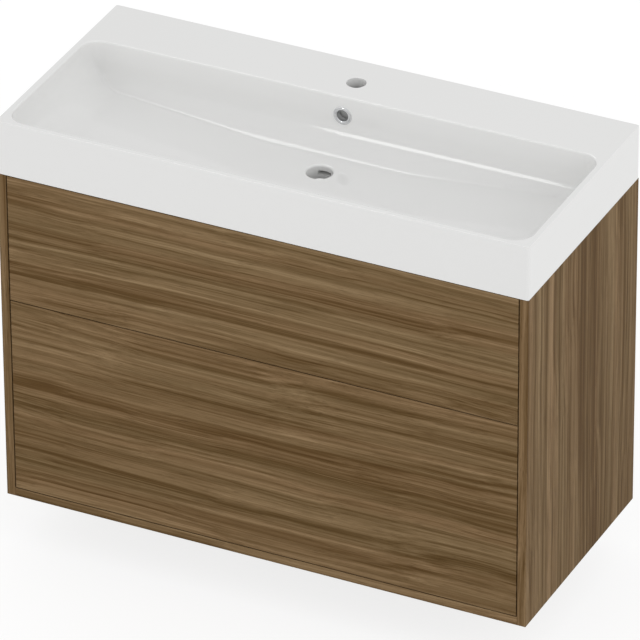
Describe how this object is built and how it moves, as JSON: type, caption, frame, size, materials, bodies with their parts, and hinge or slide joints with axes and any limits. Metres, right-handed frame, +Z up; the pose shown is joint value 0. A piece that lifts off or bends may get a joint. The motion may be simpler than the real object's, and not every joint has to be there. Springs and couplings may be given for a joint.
{
  "type": "vanity unit",
  "caption": "Wall-hung vanity unit: a wide white basin with a rectangular bowl on a walnut-look cabinet with inset push-to-open drawers.",
  "frame": {"origin": "on the wall plane, in the middle of the unit's width, level with the cabinet's underside", "axes": "+X to the right as seen from the front, +Y into the wall, +Z up"},
  "size_m": [1, 0.455, 0.753],
  "materials": {
    "ceramic": "glossy white glaze",
    "chrome": "polished",
    "clear_rubber": "soft pads",
    "wood_upright": "satin walnut-look board, grain upright",
    "wood_across": "satin walnut-look board, grain across",
    "box_board": "matt dark grey board",
    "beech": "plain beech",
    "zinc": "die-cast zinc",
    "steel": "zinc-plated steel",
    "grey_plastic": "moulded",
    "white_plastic": "moulded"
  },
  "bodies": {
    "cabinet": {"basin": "ceramic", "overflow_ring": "chrome", "basin_pads": "clear_rubber", "left_side_panel": "wood_upright", "right_side_panel": "wood_upright", "bottom_panel": "wood_across", "front_stretcher": "wood_across", "rear_top_rail": "wood_across", "rear_lower_rail": "wood_across", "cam_locks": "zinc", "cam_bolts": "steel", "dowels": "beech", "cabinet_screws": "steel", "left_hanger": "grey_plastic", "right_hanger": "grey_plastic", "left_hanger_hook": "steel", "right_hanger_hook": "steel", "hanger_adjusters": "zinc", "left_wall_plate": "steel", "right_wall_plate": "steel", "upper_left_cabinet_member": "steel", "upper_left_latch_housing": "grey_plastic", "upper_right_cabinet_member": "steel", "upper_right_latch_housing": "grey_plastic", "lower_left_cabinet_member": "steel", "lower_left_latch_housing": "grey_plastic", "lower_right_cabinet_member": "steel", "lower_right_latch_housing": "grey_plastic"},
    "upper_latch": {"upper_latch_plungers": "white_plastic"},
    "upper_middle_members": {"upper_left_middle_member": "steel", "upper_right_middle_member": "steel"},
    "upper_outer_cages": {"upper_outer_ball_cages": "steel"},
    "upper_inner_cages": {"upper_inner_ball_cages": "steel"},
    "upper_drawer": {"upper_front": "wood_across", "upper_box_front": "box_board", "upper_left_side": "box_board", "upper_right_side": "box_board", "upper_bottom": "box_board", "upper_left_drawer_member": "steel", "upper_right_drawer_member": "steel", "upper_drawer_screws": "steel", "upper_left_back": "box_board", "upper_right_back": "box_board", "upper_recess_left": "box_board", "upper_recess_right": "box_board", "upper_recess_front": "box_board"},
    "lower_latch": {"lower_latch_plungers": "white_plastic"},
    "lower_middle_members": {"lower_left_middle_member": "steel", "lower_right_middle_member": "steel"},
    "lower_outer_cages": {"lower_outer_ball_cages": "steel"},
    "lower_inner_cages": {"lower_inner_ball_cages": "steel"},
    "lower_drawer": {"lower_front": "wood_across", "lower_box_front": "box_board", "lower_left_side": "box_board", "lower_right_side": "box_board", "lower_bottom": "box_board", "lower_left_drawer_member": "steel", "lower_right_drawer_member": "steel", "lower_drawer_screws": "steel", "lower_back": "box_board"}
  },
  "joints": [
    {"name": "upper_latch_push", "type": "slide", "parent": "cabinet", "child": "upper_latch", "axis": [0, -1, 0], "range_m": [-0.0025, 0.038]},
    {"name": "upper_drawer_slide", "type": "slide", "parent": "upper_latch", "child": "upper_drawer", "axis": [0, -1, 0], "range_m": [0, 0.312]},
    {"name": "upper_middle_slide", "type": "slide", "parent": "cabinet", "child": "upper_middle_members", "axis": [0, -1, 0], "range_m": [0, 0.175]},
    {"name": "upper_outer_cage_slide", "type": "slide", "parent": "cabinet", "child": "upper_outer_cages", "axis": [0, -1, 0], "range_m": [0, 0.0875]},
    {"name": "upper_inner_cage_slide", "type": "slide", "parent": "cabinet", "child": "upper_inner_cages", "axis": [0, -1, 0], "range_m": [0, 0.2625]},
    {"name": "lower_latch_push", "type": "slide", "parent": "cabinet", "child": "lower_latch", "axis": [0, -1, 0], "range_m": [-0.0025, 0.038]},
    {"name": "lower_drawer_slide", "type": "slide", "parent": "lower_latch", "child": "lower_drawer", "axis": [0, -1, 0], "range_m": [0, 0.312]},
    {"name": "lower_middle_slide", "type": "slide", "parent": "cabinet", "child": "lower_middle_members", "axis": [0, -1, 0], "range_m": [0, 0.175]},
    {"name": "lower_outer_cage_slide", "type": "slide", "parent": "cabinet", "child": "lower_outer_cages", "axis": [0, -1, 0], "range_m": [0, 0.0875]},
    {"name": "lower_inner_cage_slide", "type": "slide", "parent": "cabinet", "child": "lower_inner_cages", "axis": [0, -1, 0], "range_m": [0, 0.2625]}
  ],
  "couplings": [
    {"joint": "upper_middle_slide", "follows": "upper_drawer_slide", "ratio": 0.56},
    {"joint": "upper_outer_cage_slide", "follows": "upper_drawer_slide", "ratio": 0.28},
    {"joint": "upper_inner_cage_slide", "follows": "upper_drawer_slide", "ratio": 0.84},
    {"joint": "lower_middle_slide", "follows": "lower_drawer_slide", "ratio": 0.56},
    {"joint": "lower_outer_cage_slide", "follows": "lower_drawer_slide", "ratio": 0.28},
    {"joint": "lower_inner_cage_slide", "follows": "lower_drawer_slide", "ratio": 0.84}
  ]
}
